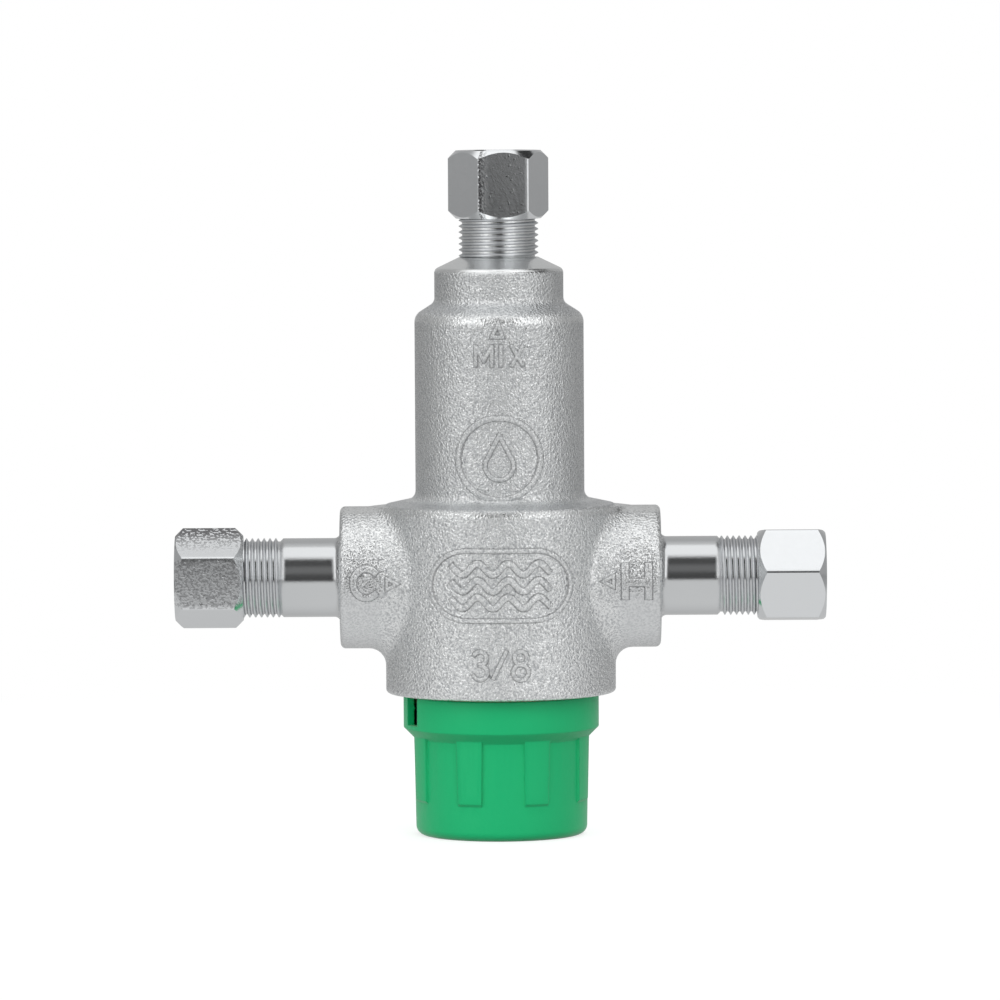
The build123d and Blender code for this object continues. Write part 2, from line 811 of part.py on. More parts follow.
# Compression nut and sleeve of each port
sleeve_shoulder = sleeve_bore + sleeve_edge
sleeve_front = nut_end_wall + sleeve_shoulder - nut_tube_hole + sleeve_clearance * sqrt(2)
mouth_slope = mouth_depth / (mouth_radius - socket_radius)
mouth_shift = sleeve_clearance * sqrt(1 + mouth_slope**2)
sleeve_waist = spigot_setback + (mouth_radius - sleeve_radius) * mouth_slope - mouth_shift
sleeve_back = spigot_setback + (mouth_radius - sleeve_shoulder) * mouth_slope - mouth_shift
nut_thread_bore = thread_crest + thread_clearance
nut_corner = nut_across_flats / sqrt(3)
for side, port in ports.items():
    with BuildPart() as nut:
        with BuildSketch(port):
            RegularPolygon(nut_across_flats / 2, 6, major_radius=False, rotation=30 + nut_turns[side])
        extrude(amount=-nut_length)
        with BuildSketch(section_of(port)):
            outline(
                [
                    (nut_tube_hole + nut_mouth_chamfer, 0),
                    (nut_end_circle, 0),
                    (nut_corner, nut_end_circle - nut_corner),
                    (nut_corner, nut_corner - nut_end_circle - nut_length),
                    (nut_end_circle, -nut_length),
                    (nut_thread_bore + nut_thread_chamfer, -nut_length),
                    (nut_thread_bore, -nut_length + nut_thread_chamfer),
                    (nut_thread_bore, -nut_end_wall - nut_cone),
                    (nut_tube_hole + nut_cone, -nut_end_wall - nut_cone),
                    (nut_tube_hole, -nut_end_wall),
                    (nut_tube_hole, -nut_mouth_chamfer),
                ]
            )
        revolve(axis=axis_of(port), mode=Mode.INTERSECT)
    nut.part.label = f"{side}_nut"
    export_step(nut.part, f"parts/{side}_nut.step")

    with BuildPart() as sleeve:
        with BuildSketch(section_of(port)):
            outline(
                [
                    (sleeve_bore, -sleeve_front),
                    (sleeve_shoulder, -sleeve_front),
                    (sleeve_radius, -sleeve_front - sleeve_radius + sleeve_shoulder),
                    (sleeve_radius, -sleeve_waist),
                    (sleeve_shoulder, -sleeve_back),
                    (sleeve_bore, -sleeve_back),
                ]
            )
        revolve(axis=axis_of(port))
    sleeve.part.label = f"{side}_sleeve"
    export_step(sleeve.part, f"parts/{side}_sleeve.step")

# Screen and check cartridge of each inlet
housing_radius = cartridge_bore - cartridge_clearance
housing_back = housing_face + cartridge_length
throat_end = housing_face + check_throat_length
hub_face = housing_back - check_hub_height
head_face = throat_end + check_gap
head_back = head_face + check_head_height
for side, port in inlets.items():
    with BuildPart() as screen:
        with BuildSketch(port.offset(-socket_end - cartridge_clearance)):
            Circle(housing_radius)
            with HexLocations(screen_pitch / 2, 5, 5):
                Circle(screen_hole, mode=Mode.SUBTRACT)
        extrude(amount=-screen_thickness)
    screen.part.label = f"{side}_screen"
    export_step(screen.part, f"parts/{side}_screen.step")

    with BuildPart() as housing:
        with BuildSketch(section_of(port)):
            outline(
                [
                    (check_throat, -housing_face),
                    (housing_radius - cartridge_edge, -housing_face),
                    (housing_radius, -housing_face - cartridge_edge),
                    (housing_radius, -housing_back + cartridge_edge),
                    (housing_radius - cartridge_edge, -housing_back),
                    (check_chamber, -housing_back),
                    (check_chamber, -throat_end),
                    (check_throat, -throat_end),
                ]
            )
        revolve(axis=axis_of(port))
        ring_plane = port.offset(-housing_face - check_ring_place)
        with BuildSketch(section_of(ring_plane)):
            outline(groove_outline(cartridge_bore, check_ring_section))
        revolve(axis=axis_of(port), mode=Mode.SUBTRACT)
        with BuildSketch(port.offset(-hub_face)):
            Circle(check_hub)
            with PolarLocations((check_stem + check_chamber) / 2, check_spokes):
                Rectangle(check_chamber - check_stem + cartridge_edge, check_spoke_width)
            Circle(check_stem + running, mode=Mode.SUBTRACT)
        extrude(amount=-check_hub_height)
    housing.part.label = f"{side}_check_housing"
    export_step(housing.part, f"parts/{side}_check_housing.step")

    housing_ring = ring_seal(ring_plane, cartridge_bore, check_ring_section)
    housing_ring.label = f"{side}_check_o_ring"
    export_step(housing_ring, f"parts/{side}_check_o_ring.step")

    with BuildPart() as poppet:
        with BuildSketch(section_of(port)):
            outline(
                [
                    (0, -head_face),
                    (check_head, -head_face),
                    (check_head, -head_back),
                    (check_stem, -head_back),
                    (check_stem, -head_back - check_stem_length),
                    (0, -head_back - check_stem_length),
                ]
            )
        revolve(axis=axis_of(port))
    poppet.part.label = f"{side}_check_poppet"
    export_step(poppet.part, f"parts/{side}_check_poppet.step")

    check_spring = coil(
        port.offset(-hub_face + check_gap),
        check_hub - check_wire - running,
        check_wire,
        hub_face - head_back - 2 * check_gap,
        check_coils,
    )
    check_spring.label = f"{side}_check_spring"
    export_step(check_spring, f"parts/{side}_check_spring.step")
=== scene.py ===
"""Looks of a small water mixing valve.

The casting is satin nickel with a fine sand-cast skin. Its three threaded spigots carry
bright hexagon nuts, and a green moulded cap sits at its foot. The script adds the threads
and the cast marks to the model and gives every piece its finish. Sizes are in millimetres
until a piece is placed.
"""

from math import asin, atan2, ceil, cos, hypot, pi, radians, remainder, sin, sqrt, tan

import bmesh
import bpy
from mathutils import Matrix, Vector


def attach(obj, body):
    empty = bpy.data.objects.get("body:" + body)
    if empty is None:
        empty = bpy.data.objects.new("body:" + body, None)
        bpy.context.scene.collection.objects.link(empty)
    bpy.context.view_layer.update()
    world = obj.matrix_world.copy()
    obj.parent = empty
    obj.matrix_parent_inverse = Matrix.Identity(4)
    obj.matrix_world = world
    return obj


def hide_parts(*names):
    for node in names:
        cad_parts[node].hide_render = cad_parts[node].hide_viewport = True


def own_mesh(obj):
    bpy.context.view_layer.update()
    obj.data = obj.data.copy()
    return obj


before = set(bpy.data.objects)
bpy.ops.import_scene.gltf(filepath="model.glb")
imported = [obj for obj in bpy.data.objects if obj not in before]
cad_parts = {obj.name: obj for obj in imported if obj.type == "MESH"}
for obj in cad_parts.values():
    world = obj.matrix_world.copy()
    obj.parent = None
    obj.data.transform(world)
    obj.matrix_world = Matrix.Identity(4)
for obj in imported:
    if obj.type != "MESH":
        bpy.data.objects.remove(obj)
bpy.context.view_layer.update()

MM = 0.001
merge_distance = 0.0005 * MM
sharp_angle = radians(32)

# Sizes shared with the model
upper_radius = 15.2
barrel_radius = 20.7
boss_radius = 12.8
inlet_height = 46.5
port_reach = 58.5
outlet_height = 123.2
spigot_setback = 6.5
thread_root = 6.55
thread_crest = 7.14
nut_across_flats = 15.875
nut_length = 12.2
nut_end_circle = 7.65
nut_end_wall = 2.4
nut_cone = 1.4
nut_tube_hole = 4.9
nut_mouth_chamfer = 0.65
nut_bore = 7.24
nut_bore_chamfer = 0.15
nut_thread_crest = 6.72
thread_pitch = 1.0583
inlet_thread = 12.4
outlet_thread = 12.65
check_spring_foot = 32.0

# Sizes of the added threads: how deep a ridge sits in its wall, half of its flat crest,
# and where it starts and ends
thread_bite = 0.1
crest_half = 0.065
thread_slope = radians(30)
spigot_lead = 0.25
nut_lead = 0.5
nut_run_out = 0.6

# Port name, point on the outer face of its nut, outward direction, thread length
# and turn of the nut in degrees
ports = {
    "outlet": (Vector((0, 0, outlet_height)), Vector((0, 0, 1)), outlet_thread, 6.85),
    "hot": (Vector((port_reach, 0, inlet_height)), Vector((1, 0, 0)), inlet_thread, 22.85),
    "cold": (Vector((-port_reach, 0, inlet_height)), Vector((-1, 0, 0)), inlet_thread, -3.2),
}

# Scuffs on the flats of the nuts: the flat's angle on its nut, where along the flat
# the scuff starts and where it is full, and how strong it is there
nut_scuffs = {
    "outlet": [(0, -2.9, -4.6, 1.0)],
    "hot": [],
    "cold": [(60, -3.0, 4.2, 1.25), (0, -9.0, -8.0, 0.4)],
}


class Wire:
    """A value that runs between shader nodes. Arithmetic on it adds Math nodes."""

    def __init__(self, tree, socket):
        self.tree = tree
        self.socket = socket

    def math(self, operation, first, second=0.0):
        return add(self.tree, "Math", {"operation": operation}, {0: first, 1: second})

    def __add__(self, other):
        return self.math("ADD", self, other)

    def __radd__(self, other):
        return self.math("ADD", other, self)

    def __sub__(self, other):
        return self.math("SUBTRACT", self, other)

    def __rsub__(self, other):
        return self.math("SUBTRACT", other, self)

    def __mul__(self, other):
        return self.math("MULTIPLY", self, other)

    def __rmul__(self, other):
        return self.math("MULTIPLY", other, self)

    def __neg__(self):
        return self.math("MULTIPLY", self, -1.0)

    def size(self):
        return self.math("ABSOLUTE", self)

    def most(self, other):
        return self.math("MAXIMUM", self, other)

    def step(self, start, end):
        """0 before start, 1 past end and a soft rise between them."""
        settings = {"interpolation_type": "SMOOTHSTEP"}
        sockets = {"Value": self, "From Min": start, "From Max": end}
        return add(self.tree, "MapRange", settings, sockets, "Result")


def add(tree, kind, settings=None, sockets=None, output=0):
    """A node of any kind, with its settings made first. Returns one of its outputs."""
    node = tree.nodes.new("ShaderNode" + kind)
    for name, value in (settings or {}).items():
        setattr(node, name, value)
    for name, value in (sockets or {}).items():
        if isinstance(value, Wire):
            tree.links.new(value.socket, node.inputs[name])
        else:
            node.inputs[name].default_value = value
    return Wire(tree, node.outputs[output])


def axes(tree, place):
    """The three coordinates of a place."""
    return [add(tree, "SeparateXYZ", None, {0: place}, n) for n in range(3)]


def between(wire, start, end, soft):
    """1 between two values, falling softly to 0 outside them."""
    return wire.step(start - soft, start + soft) * (1.0 - wire.step(end - soft, end + soft))


class Finish:
    """A material with one Principled shader, whose patterns read Object coordinates."""

    def __init__(self, name, colour, **constants):
        self.material = bpy.data.materials.new(name)
        self.material.use_nodes = True
        self.tree = self.material.node_tree
        self.shader = self.tree.nodes["Principled BSDF"]
        self.shader.inputs["Base Color"].default_value = (*colour, 1)
        for socket, value in constants.items():
            self.shader.inputs[socket.replace("_", " ")].default_value = value
        self.place = add(self.tree, "TexCoord", output="Object")

    def noise(self, grain, detail=2.0, stretch=None):
        """Cloudy pattern around 0.5, with features of about grain millimetres."""
        place = self.place
        if stretch:
            place = add(self.tree, "Mapping", None, {"Vector": place, "Scale": stretch})
        sockets = {"Vector": place, "Scale": 0.6 / (grain * MM), "Detail": detail}
        return add(self.tree, "TexNoise", None, sockets, "Fac")

    def attribute(self, name):
        """A value that the mesh holds at its points."""
        return add(self.tree, "Attribute", {"attribute_name": name}, None, "Fac")

    def tint(self, factor, first, second):
        """Blends two colours, each a triple or a wire."""
        ends = [end if isinstance(end, Wire) else (*end, 1) for end in (first, second)]
        sockets = {0: factor, 6: ends[0], 7: ends[1]}
        return add(self.tree, "Mix", {"data_type": "RGBA"}, sockets, 2)

    def feed(self, socket, wire):
        self.tree.links.new(wire.socket, self.shader.inputs[socket])

    def bump(self, height, depth, edge=0):
        """Relief of the given depth for a height of 0 to 1, over edges softened by edge."""
        sockets = {"Height": height, "Distance": depth * MM}
        if edge:
            rounded = add(self.tree, "Bevel", {"samples": 6}, {"Radius": edge * MM}, "Normal")
            sockets["Normal"] = rounded
        self.feed("Normal", add(self.tree, "Bump", None, sockets, "Normal"))


# Finish of the casting. Its rims are polished smoother and carry a painted highlight in their
# colour, its slopes carry painted shade, its inlet bosses are glossier than the barrel and
# smoother at their foot, where a painted dark reflection lies, and its tails and top cone are
# turned.
nickel = (0.785, 0.80, 0.815)
dull_nickel = (0.62, 0.635, 0.65)
clear_nickel = (0.985, 1.0, 1.0)
# Grey of the painted shade on the sides of the cast marks
mark_side_shade_grey = (0.33, 0.33, 0.335)
cast_skin = Finish("satin_nickel_casting", nickel, Metallic=1.0)
across, _, height = axes(cast_skin.tree, cast_skin.place)


def band(start, end, soft):
    """Mask of the casting between two heights in millimetres."""
    return between(height, start * MM, end * MM, soft * MM)


# Painted highlight: the colour of the two rims is made brighter, on top of their real polish
# (lower roughness)
polished_rims_painted_highlight = band(58.4, 59.3, 0.3) + band(92.5, 93.6, 0.4)
# Painted shade: the slopes just above the two rims are darkened in colour
painted_shade_slopes = band(59.5, 60.4, 0.2) + band(94.2, 96.0, 0.4)
boss = across.size().step(19 * MM, 23 * MM)
# Lower half of each boss: finer grain and smoother relief, and a painted dark reflection that
# darkens its colour
boss_foot_smooth_painted_dark = boss * (1.0 - height.step(43 * MM, 49 * MM))
coarse = (1.0 - height.step(50 * MM, 62 * MM)) * (1.0 - boss)
cone = height.step(101.3 * MM, 101.8 * MM)
turned = across.size().step(29.0 * MM, 29.6 * MM).most(cone)
rough_skin = 1.0 - turned

grit = cast_skin.noise(0.24, 1.0)
pits = cast_skin.noise(0.7, 1.0)
clouds = cast_skin.noise(9.0, 1.0)
relief = grit * 0.74 + pits * 0.26
grains = 0.5 + (grit.step(0.24, 0.64) - 0.5) * (1.0 + 0.3 * coarse - 0.6 * boss_foot_smooth_painted_dark)
sparkle = grit.step(0.46, 0.66)
mark_edge = cast_skin.attribute("mark_edge")

skin_gloss = 0.40 - 0.17 * sparkle + 0.06 * clouds - 0.14 * polished_rims_painted_highlight - 0.17 * boss
skin_gloss = skin_gloss + 0.2 * boss * mark_edge
cast_skin.feed("Roughness", turned * 0.12 + cone * 0.08 + rough_skin * skin_gloss)
# Tone of the skin: cast grain and cloudy tone, with a painted highlight on the rims, painted
# shade on the slopes and a painted dark reflection at the bosses' foot
skin_shine = 0.86 * grains + 0.14 * clouds + 0.35 * polished_rims_painted_highlight - 0.40 * painted_shade_slopes - 0.14 * boss_foot_smooth_painted_dark
shine = (0.2 + 0.2 * clouds) * turned + 0.6 * cone + rough_skin * skin_shine
plated = cast_skin.tint(shine, dull_nickel, clear_nickel)
# Painted shade: the sides of the cast marks are darkened towards grey, more on the bosses
painted_mark_side_shade = mark_edge * (0.75 + 0.25 * boss)
cast_skin.feed("Base Color", cast_skin.tint(painted_mark_side_shade, plated, mark_side_shade_grey))
evenness = (1.0 - 0.45 * polished_rims_painted_highlight) * (1.0 - 0.15 * boss) * (1.0 - 0.5 * boss_foot_smooth_painted_dark)
cast_skin.bump(relief * rough_skin * evenness + 0.02 * grit * turned, 0.36, edge=0.9)

# Finishes of the threads and the nuts
thread_plate = Finish("plated_thread", nickel, Metallic=1.0)
thread_plate.feed("Roughness", 0.24 + 0.12 * thread_plate.noise(1.5))
thread_plate.bump(thread_plate.noise(0.5), 0.012)

bright_nickel = (0.88, 0.90, 0.915)
scuffed_nickel = (0.20, 0.20, 0.205)
nut_plate = Finish("bright_nickel_nut", bright_nickel, Metallic=1.0)
nut_grain = nut_plate.noise(0.28, 1.0)
scuff_side = nut_plate.attribute("scuff")
scuffs = (nut_grain + 0.14 * scuff_side).step(0.52, 0.62) * scuff_side
nut_plate.feed("Base Color", nut_plate.tint(scuffs, bright_nickel, scuffed_nickel))
nut_plate.feed("Roughness", 0.10 + 0.10 * nut_plate.noise(0.6) + 0.10 * scuff_side)
specks = nut_plate.noise(0.34, 0.0).step(0.70, 0.82)
nut_plate.bump((nut_grain * 0.5 + specks * 0.5) * (0.1 + 0.9 * scuff_side), 0.05)

# Finish of the moulded cap: smooth with a faint flow pattern and tiny moulding grain
cap_plastic = Finish(
    "green_moulding", (0.003, 0.46, 0.165),
    Specular_IOR_Level=0.35, Sheen_Weight=0.15, Sheen_Roughness=0.4,
)
deep_green = (0.002, 0.445, 0.158)
light_green = (0.004, 0.475, 0.172)
flow = cap_plastic.noise(14.0, 1.0)
cap_plastic.feed("Base Color", cap_plastic.tint(flow, deep_green, light_green))
cap_plastic.feed("Roughness", 0.34 + 0.14 * cap_plastic.noise(0.8))
cap_plastic.bump(cap_plastic.noise(0.35), 0.02, edge=0.3)

# Finishes of the pieces inside
brass = Finish("turned_brass", (0.80, 0.58, 0.28), Metallic=1.0)
brass.feed("Roughness", 0.22 + 0.18 * brass.noise(3.0, 2.0, (1, 1, 12)))
dark_brass = (0.74, 0.52, 0.25)
light_brass = (0.84, 0.62, 0.32)
brass.feed("Base Color", brass.tint(brass.noise(6.0), dark_brass, light_brass))
brass.bump(brass.noise(1.2, 1.0, (1, 1, 20)), 0.01)

copper = Finish("drawn_copper", (0.86, 0.46, 0.32), Metallic=1.0)
copper.feed("Roughness", 0.25 + 0.2 * copper.noise(2.5))
dark_copper = (0.78, 0.38, 0.26)
light_copper = (0.90, 0.52, 0.38)
copper.feed("Base Color", copper.tint(copper.noise(4.0), dark_copper, light_copper))

spring_steel = Finish("spring_wire", (0.62, 0.62, 0.63), Metallic=1.0)
spring_steel.feed("Roughness", 0.2 + 0.2 * spring_steel.noise(0.8))

pin_steel = Finish("ground_steel", (0.66, 0.66, 0.67), Metallic=1.0)
pin_steel.feed("Roughness", 0.12 + 0.16 * pin_steel.noise(2.0, 2.0, (1, 1, 15)))

screen_steel = Finish("punched_steel", (0.60, 0.60, 0.61), Metallic=1.0)
screen_steel.feed("Roughness", 0.25 + 0.2 * screen_steel.noise(0.6))

grey_plastic = Finish("grey_moulding", (0.20, 0.21, 0.22))
grey_plastic.feed("Roughness", 0.4 + 0.15 * grey_plastic.noise(0.8))
grey_plastic.bump(grey_plastic.noise(0.3), 0.01)

white_plastic = Finish("white_moulding", (0.80, 0.79, 0.76))
white_plastic.feed("Roughness", 0.35 + 0.15 * white_plastic.noise(0.8))
white_plastic.bump(white_plastic.noise(0.3), 0.01)

rubber = Finish("black_rubber", (0.018, 0.018, 0.019))
rubber.feed("Roughness", 0.55 + 0.2 * rubber.noise(0.7))
rubber.bump(rubber.noise(0.25), 0.012)

finishes = {
    "cast_body": cast_skin,
    "plated_nut": nut_plate,
    "green_plastic": cap_plastic,
    "brass": brass,
    "copper": copper,
    "spring_steel": spring_steel,
    "pin_steel": pin_steel,
    "screen_steel": screen_steel,
    "grey_plastic": grey_plastic,
    "white_plastic": white_plastic,
    "rubber": rubber,
}
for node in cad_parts.values():
    slot = node.data.materials[0].name.split(".")[0]
    node.data.materials[0] = finishes[slot].material


def make_object(name, mesh, material):
    """Turns a finished bmesh into an object with one material."""
    data = bpy.data.meshes.new(name)
    mesh.to_mesh(data)
    mesh.free()
    data.materials.append(material)
    made = bpy.data.objects.new(name, data)
    bpy.context.scene.collection.objects.link(made)
    return made


def piece(name, mesh, finish, body):
    """A smooth-shaded piece of the valve, which rides on a body."""
    made = make_object(name, mesh, finish.material)
    made.data.shade_smooth()
    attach(made, body)
    return made


def merged_copy(node, name, finish, body):
    """A copy of a node's mesh with its doubled points merged, which stands for the node."""
    mesh = bmesh.new()
    mesh.from_mesh(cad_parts[node].data)
    bmesh.ops.remove_doubles(mesh, verts=mesh.verts, dist=merge_distance)
    bmesh.ops.dissolve_limit(
        mesh, angle_limit=radians(0.3), verts=mesh.verts, edges=mesh.edges, delimit=set()
    )
    made = piece(name, mesh, finish, body)
    made.data.set_sharp_from_angle(angle=sharp_angle)
    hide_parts(node)
    return made


# The cap's moulded edges are slightly rounded
cap = merged_copy("adjusting_cap", "adjusting_cap_edged", cap_plastic, "cap")
rounding = cap.modifiers.new("edge_rounding", "BEVEL")
rounding.width = 0.16 * MM
rounding.segments = 3
rounding.limit_method = "ANGLE"
rounding.angle_limit = sharp_angle
rounding.harden_normals = True

# The springs of the check valves are merged copies with meshes of their own; their length from
# the foot is worked out, but nothing uses it
for side, outward in (("hot", 1), ("cold", -1)):
    spring = merged_copy(
        side + "_check_spring",
        side + "_check_spring_coil",
        spring_steel,
        "valve",
    )
    reaches = [corner.co.x * outward for corner in spring.data.vertices]
    length = max(reaches) - check_spring_foot * MM
    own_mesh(spring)


def hex_nut(port, point, outward, turn):
    """A nut with rounded corners, turned chamfers and a stepped bore, for the nut's node."""
    corner_round = 0.30
    scuff_reach = radians(30.5)
    flat_half = nut_across_flats / 2 / sqrt(3)
    to_front = Vector((0, -1, 0))
    to_side = outward.cross(to_front)
    mesh = bmesh.new()
    hexagon = bmesh.ops.create_circle(mesh, cap_ends=True, segments=6, radius=2 * flat_half)
    bmesh.ops.bevel(
        mesh,
        geom=hexagon["verts"],
        affect="VERTICES",
        offset=corner_round,
        offset_type="OFFSET",
        segments=4,
        profile=0.5,
        material=-1,
    )
    flats = [edge for edge in mesh.edges if edge.calc_length() > flat_half]
    bmesh.ops.subdivide_edges(mesh, edges=flats, cuts=15)
    bmesh.ops.delete(mesh, geom=mesh.faces[:], context="FACES_ONLY")
    angle = mesh.verts.layers.float.new("angle")
    reach = mesh.verts.layers.float.new("reach")
    scuff = mesh.verts.layers.float.new("scuff")
    for corner in mesh.verts:
        corner[angle] = atan2(corner.co.y, corner.co.x)
        corner[reach] = corner.co.length
        for flat, start, full, strength in nut_scuffs[port]:
            off = remainder(corner[angle] - radians(flat), 2 * pi)
            if abs(off) < scuff_reach:
                share = (corner[reach] * sin(off) - start) / (full - start)
                corner[scuff] = strength * min(1, max(0, share))

    # Each level has a radius, or none on the hexagon itself, and a depth
    bore_shoulder = nut_end_wall + nut_cone
    levels = [
        (nut_end_circle, 0),
        (None, -nut_end_circle),
        (None, nut_length + nut_end_circle),
        (nut_end_circle, nut_length),
        (nut_bore + nut_bore_chamfer, nut_length),
        (nut_bore, nut_length - nut_bore_chamfer),
        (nut_bore, bore_shoulder),
        (nut_tube_hole + nut_cone, bore_shoulder),
        (nut_tube_hole, nut_end_wall),
        (nut_tube_hole, nut_mouth_chamfer),
        (nut_tube_hole + nut_mouth_chamfer, 0),
        (nut_end_circle, 0),
    ]
    loop = mesh.edges[:]
    ring = mesh.verts[:]
    for level, (radius, depth) in enumerate(levels):
        if level:
            grown = bmesh.ops.extrude_edge_only(mesh, edges=loop)["geom"]
            ring = [item for item in grown if isinstance(item, bmesh.types.BMVert)]
            members = set(ring)
            edges = [item for item in grown if isinstance(item, bmesh.types.BMEdge)]
            loop = [edge for edge in edges if members.issuperset(edge.verts)]
        for corner in ring:
            r, d = radius, depth
            if r is None:
                # The chamfer cuts the hexagon deeper where it reaches further out
                r = corner[reach]
                d = depth + r if depth < 0 else depth - r
            bearing = corner[angle] + radians(turn)
            spoke = to_front * cos(bearing) + to_side * sin(bearing)
            corner.co = (point + spoke * r - outward * d) * MM
    bmesh.ops.remove_doubles(mesh, verts=mesh.verts, dist=merge_distance)
    bmesh.ops.recalc_face_normals(mesh, faces=mesh.faces)
    made = piece(port + "_nut_rounded", mesh, nut_plate, port + "_nut")
    made.data.set_sharp_from_angle(angle=sharp_angle)
    shading = made.modifiers.new("even_shading", "WEIGHTED_NORMAL")
    shading.keep_sharp = True
    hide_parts(port + "_nut")


for port, (point, outward, _, turn) in ports.items():
    hex_nut(port, point, outward, turn)


# Threads: a V-shaped ridge is spun along each spigot, and a matching one inside each nut

def helix_ridge(point, outward, foot, crest, start, length):
    """Ridge of a right-handed thread, which begins at a distance behind the port's face."""
    base_half = crest_half + abs(crest - foot) * tan(thread_slope)
    side = Vector((0, 1, 0))
    turns = length / thread_pitch
    steps = 48
    mesh = bmesh.new()
    origin = point * MM - outward * (start + length) * MM
    outline = [(foot, -base_half), (crest, -crest_half), (crest, crest_half), (foot, base_half)]
    corners = [mesh.verts.new(origin + (side * r + outward * lift) * MM) for r, lift in outline]
    profile = [mesh.edges.new((corners[n - 1], corners[n])) for n in range(4)]
    bmesh.ops.spin(
        mesh,
        geom=corners + profile,
        cent=origin,
        axis=outward,
        dvec=outward * thread_pitch * MM / steps,
        angle=2 * pi * turns,
        steps=round(steps * turns),
    )
    bmesh.ops.holes_fill(mesh, edges=[e for e in mesh.edges if e.is_boundary], sides=4)
    bmesh.ops.recalc_face_normals(mesh, faces=mesh.faces)
    return mesh


def trim_ridge(mesh, point, outward, limit):
    """Pulls each corner of a ridge in to the radius that limit gives for its depth."""
    for corner in mesh.verts:
        depth = (point * MM - corner.co).dot(outward) / MM
        on_axis = (point - outward * depth) * MM
        spoke = corner.co - on_axis
        radius = spoke.length / MM
        kept = limit(depth, radius)
        corner.co = on_axis + spoke * (kept / radius)


foot = thread_root - thread_bite
nut_foot = nut_bore + thread_bite
for port, (point, outward, length, _) in ports.items():
    spigot_depth = spigot_setback + length

    # On the spigot the thread starts on a chamfer and ends against the tail
    def spigot_limit(depth, radius):
        chamfer = foot + max(depth - spigot_setback - spigot_lead, 0)
        against = thread_root if depth > spigot_depth else thread_crest
        return min(radius, max(min(chamfer, against), foot))

    ridge = helix_ridge(point, outward, foot, thread_crest, spigot_setback, length)
    trim_ridge(ridge, point, outward, spigot_limit)
    piece(port + "_thread", ridge, thread_plate, "valve")

    # In the nut it lies half a pitch along, so that the two threads mesh
    free_length = spigot_depth - nut_length + nut_run_out
    turns_apart = ceil(free_length / thread_pitch - 0.5) + 0.5
    nut_depth = spigot_depth - turns_apart * thread_pitch
    nut_start = spigot_setback + nut_lead
    ridge = helix_ridge(
        point, outward, nut_foot, nut_thread_crest, nut_start, nut_depth - nut_start
    )
    piece(port + "_nut_thread", ridge, nut_plate, port + "_nut")


# Cast marks, raised from the casting on its front

def arc(centre, radius, start, end, count=24):
    """Points on an arc, with angles in degrees from the right, anticlockwise."""
    turns = [radians(start + (end - start) * n / count) for n in range(count + 1)]
    return [(centre[0] + radius * cos(t), centre[1] + radius * sin(t)) for t in turns]


def outside(point, line, width):
    """How far a point lies outside a square-ended stroke along a line of points."""
    best = 1e9
    for (x0, z0), (x1, z1) in zip(line, line[1:]):
        length = hypot(x1 - x0, z1 - z0)
        ahead = ((point[0] - x0) * (x1 - x0) + (point[1] - z0) * (z1 - z0)) / length
        aside = abs((point[0] - x0) * (z1 - z0) - (point[1] - z0) * (x1 - x0)) / length
        best = min(best, max(abs(ahead - length / 2) - length / 2, aside) - width / 2)
    return best


def beyond(point, corners):
    """How far a point lies outside a filled convex shape, with its corners anticlockwise."""
    best = -1e9
    for (x0, z0), (x1, z1) in zip(corners, corners[1:] + corners[:1]):
        length = hypot(x1 - x0, z1 - z0)
        best = max(best, ((point[0] - x0) * (z1 - z0) - (point[1] - z0) * (x1 - x0)) / length)
    return best


def on_barrel(radius):
    def place(x, z, lift):
        turn = asin(x / radius)
        reach = (radius + lift) * MM
        return Vector((reach * sin(turn), -reach * cos(turn), z * MM))
    return place


def on_boss(x, z, lift):
    turn = asin((z - inlet_height) / boss_radius)
    reach = (boss_radius + lift) * MM
    return Vector((x * MM, -reach * cos(turn), inlet_height * MM + reach * sin(turn)))


def cast_mark(name, lines, width, place, hollow=False):
    """Flat-topped strokes along lines, or just inside convex shapes, cast proud."""
    spacing = 0.1
    lift = 0.40
    sunk = 0.07
    soft = 0.26
    wall = 0.5
    margin = width / 2 + soft
    xs = [x for line in lines for x, z in line]
    zs = [z for line in lines for x, z in line]
    low = (min(xs) - margin, min(zs) - margin)
    high = (max(xs) + margin, max(zs) + margin)
    mesh = bmesh.new()
    bmesh.ops.create_grid(
        mesh,
        x_segments=round((high[0] - low[0]) / spacing),
        y_segments=round((high[1] - low[1]) / spacing),
        size=0.5,
    )
    edge = mesh.verts.layers.float.new("mark_edge")
    far = set()
    for corner in mesh.verts:
        x = low[0] + (corner.co.x + 0.5) * (high[0] - low[0])
        z = low[1] + (corner.co.y + 0.5) * (high[1] - low[1])
        if hollow:
            reach = min(beyond((x, z), line) for line in lines)
            gap = max(reach, -reach - width)
        else:
            gap = min(outside((x, z), line, width) for line in lines)
        share = min(1, max(0, (soft - gap) / soft))
        if share == 0:
            far.add(corner)
        rise = share * share * (3 - 2 * share)
        # mark_edge peaks halfway up a mark's side; the casting's finish darkens it there as
        # painted shade and roughens it on the bosses
        corner[edge] = 4 * share * (1 - share)
        corner.co = place(x, z, rise * (lift + sunk) - sunk)
    unused = [f for f in mesh.faces if all(v in far for v in f.verts)]
    bmesh.ops.delete(mesh, geom=unused, context="FACES")
    bmesh.ops.recalc_face_normals(mesh, faces=mesh.faces)
    if sum(f.normal.y for f in mesh.faces) > 0:
        bmesh.ops.reverse_faces(mesh, faces=mesh.faces)
    bmesh.ops.solidify(mesh, geom=mesh.faces[:], thickness=wall * MM)
    return piece(name, mesh, cast_skin, "valve")


